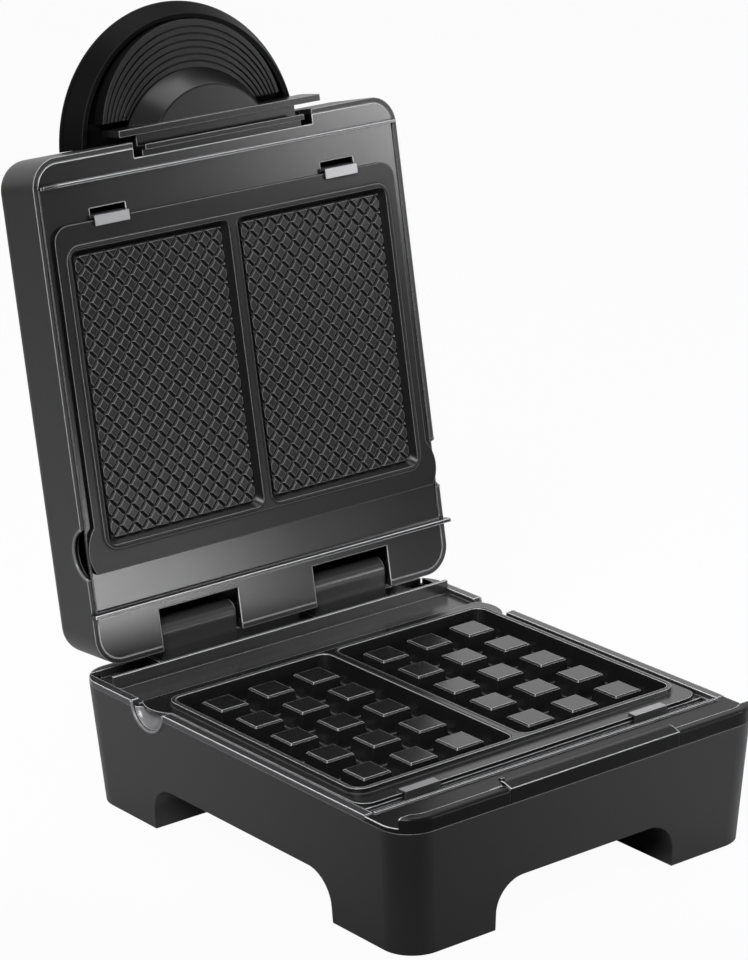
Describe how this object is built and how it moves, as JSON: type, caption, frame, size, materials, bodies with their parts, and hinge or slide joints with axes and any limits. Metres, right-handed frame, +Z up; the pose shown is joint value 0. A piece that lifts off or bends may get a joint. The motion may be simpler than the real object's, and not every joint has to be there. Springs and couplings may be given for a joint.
{
  "type": "waffle maker",
  "caption": "Waffle and sandwich maker with a hinged lid, drop-in non-stick plates held by sprung clips, a half-round handle with a push latch, and an arched base on rubber feet.",
  "frame": {"origin": "on the table, under the middle of the box round the appliance with its lid open", "axes": "+X to the user's right, +Y from the front towards the hinge, +Z up; rest pose is the lid standing open at its stop"},
  "size_m": [0.242, 0.3524, 0.4094],
  "materials": {
    "housing_plastic": "satin black moulding",
    "handle_plastic": "satin black moulding",
    "deck_plastic": "satin black moulding, a little glossier",
    "foot_rubber": "matt",
    "plate_nonstick": "black non-stick coat on cast aluminium",
    "clip_steel": "bright sheet",
    "heater_steel": "heat-dulled",
    "reflector_aluminium": "mill finish sheet",
    "fastener_steel": "zinc plated",
    "thermal_ceramic": "matt",
    "terminal_plastic": "matt",
    "inlet_plastic": "matt",
    "lead_silicone": "matt sleeve",
    "lens_red": "clear red",
    "lens_green": "clear green"
  },
  "bodies": {
    "base": {"base_housing": "housing_plastic", "rubber_feet": "foot_rubber", "base_deck": "deck_plastic", "front_trim": "deck_plastic", "front_catch": "deck_plastic", "lower_waffle_plate": "plate_nonstick", "lower_heater": "heater_steel", "lower_heater_saddles": "heater_steel", "lower_reflector": "reflector_aluminium", "base_thermostat": "thermal_ceramic", "thermal_fuse": "thermal_ceramic", "terminal_block": "terminal_plastic", "cord_inlet": "inlet_plastic", "base_leads": "lead_silicone", "base_screws": "fastener_steel"},
    "lid": {"lid_housing": "housing_plastic", "lid_deck": "deck_plastic", "hinge_pins": "fastener_steel", "hollow_hinge_pin": "fastener_steel", "upper_grill_plate": "plate_nonstick", "upper_heater": "heater_steel", "upper_heater_saddles": "heater_steel", "upper_reflector": "reflector_aluminium", "lid_leads": "lead_silicone", "lid_screws": "fastener_steel", "handle_shell": "handle_plastic", "handle_grip": "handle_plastic", "handle_screws": "fastener_steel", "latch_springs": "fastener_steel", "power_lens": "lens_red", "ready_lens": "lens_green", "lamp_holder": "terminal_plastic"},
    "base_clip_left": {"base_clip_left": "clip_steel"},
    "base_clip_right": {"base_clip_right": "clip_steel"},
    "lid_clip_left": {"lid_clip_left": "clip_steel"},
    "lid_clip_right": {"lid_clip_right": "clip_steel"},
    "latch": {"latch_slide": "handle_plastic"}
  },
  "joints": [
    {"name": "lid_hinge", "type": "hinge", "parent": "base", "child": "lid", "pos_m": [0, 0.0926, 0.0872], "axis": [1, 0, 0], "range_deg": [0, 99.4]},
    {"name": "base_clip_left_slide", "type": "slide", "parent": "base", "child": "base_clip_left", "axis": [0, -1, 0], "range_m": [0, 0.0034], "stiffness_N_per_m": 600},
    {"name": "base_clip_right_slide", "type": "slide", "parent": "base", "child": "base_clip_right", "axis": [0, -1, 0], "range_m": [0, 0.0034], "stiffness_N_per_m": 600},
    {"name": "lid_clip_left_slide", "type": "slide", "parent": "lid", "child": "lid_clip_left", "axis": [0, 0.1633, 0.9866], "range_m": [0, 0.0034], "stiffness_N_per_m": 600},
    {"name": "lid_clip_right_slide", "type": "slide", "parent": "lid", "child": "lid_clip_right", "axis": [0, 0.1633, 0.9866], "range_m": [0, 0.0034], "stiffness_N_per_m": 600},
    {"name": "latch_push", "type": "slide", "parent": "lid", "child": "latch", "axis": [0, -0.1633, -0.9866], "range_m": [0, 0.003], "stiffness_N_per_m": 700, "deforming": ["latch_springs"]}
  ]
}
